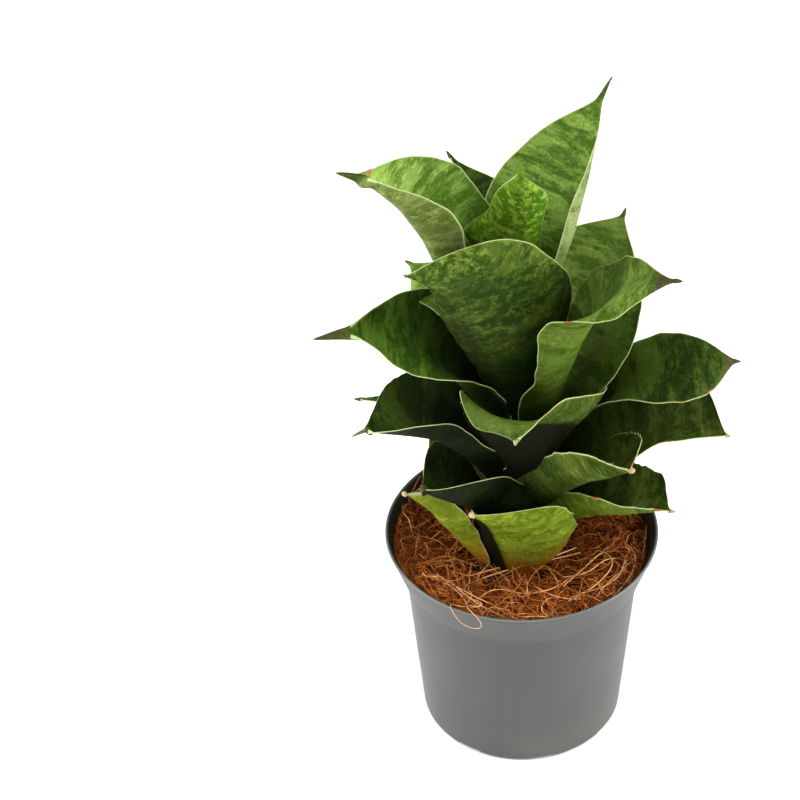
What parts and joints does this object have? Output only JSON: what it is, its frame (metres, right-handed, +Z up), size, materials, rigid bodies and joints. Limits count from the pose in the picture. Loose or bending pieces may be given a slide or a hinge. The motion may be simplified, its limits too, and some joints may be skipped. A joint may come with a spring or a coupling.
{
  "type": "potted snake plant",
  "caption": "Compact bird's-nest snake plant: broad mottled leaves stacked in a tall rosette, rooted in coir in a tapered round plastic nursery pot.",
  "frame": {"origin": "on the pot's axis, in the plane that the pot stands on", "axes": "+Z up along the pot's axis; -Y is the front, where the broad upper front leaf shows; +X is to the right seen from the front"},
  "size_m": [0.1778, 0.142, 0.3024],
  "materials": {
    "leaf": "satin, fleshy, mottled and cross-banded dark and pale green, with a fine cream margin",
    "stem": "fleshy, pale green to brown",
    "coir": "matted rust-brown coconut fibre with loose tan strands",
    "pot": "satin grey moulded plastic"
  },
  "bodies": {
    "root": {"base_leaf_left": "leaf", "base_leaf_back": "leaf", "base_leaf_front": "leaf", "base_leaf_back_left": "leaf", "base_leaf_right": "leaf", "lower_leaf_left": "leaf", "lower_leaf_back_right": "leaf", "lower_leaf_front_right": "leaf", "lower_leaf_back_left": "leaf", "lower_leaf_back": "leaf", "middle_leaf_left": "leaf", "lower_leaf_right": "leaf", "middle_leaf_back": "leaf", "middle_leaf_front": "leaf", "middle_leaf_right": "leaf", "upper_leaf_back_right": "leaf", "upper_leaf_left": "leaf", "upper_leaf_right": "leaf", "upper_leaf_back_left": "leaf", "upper_leaf_front": "leaf", "crown_leaf_back_left": "leaf", "crown_leaf_left": "leaf", "crown_leaf_back": "leaf", "crown_leaf_back_right": "leaf", "heart_leaf": "leaf", "stem": "stem", "coir": "coir", "pot": "pot"}
  },
  "joints": []
}
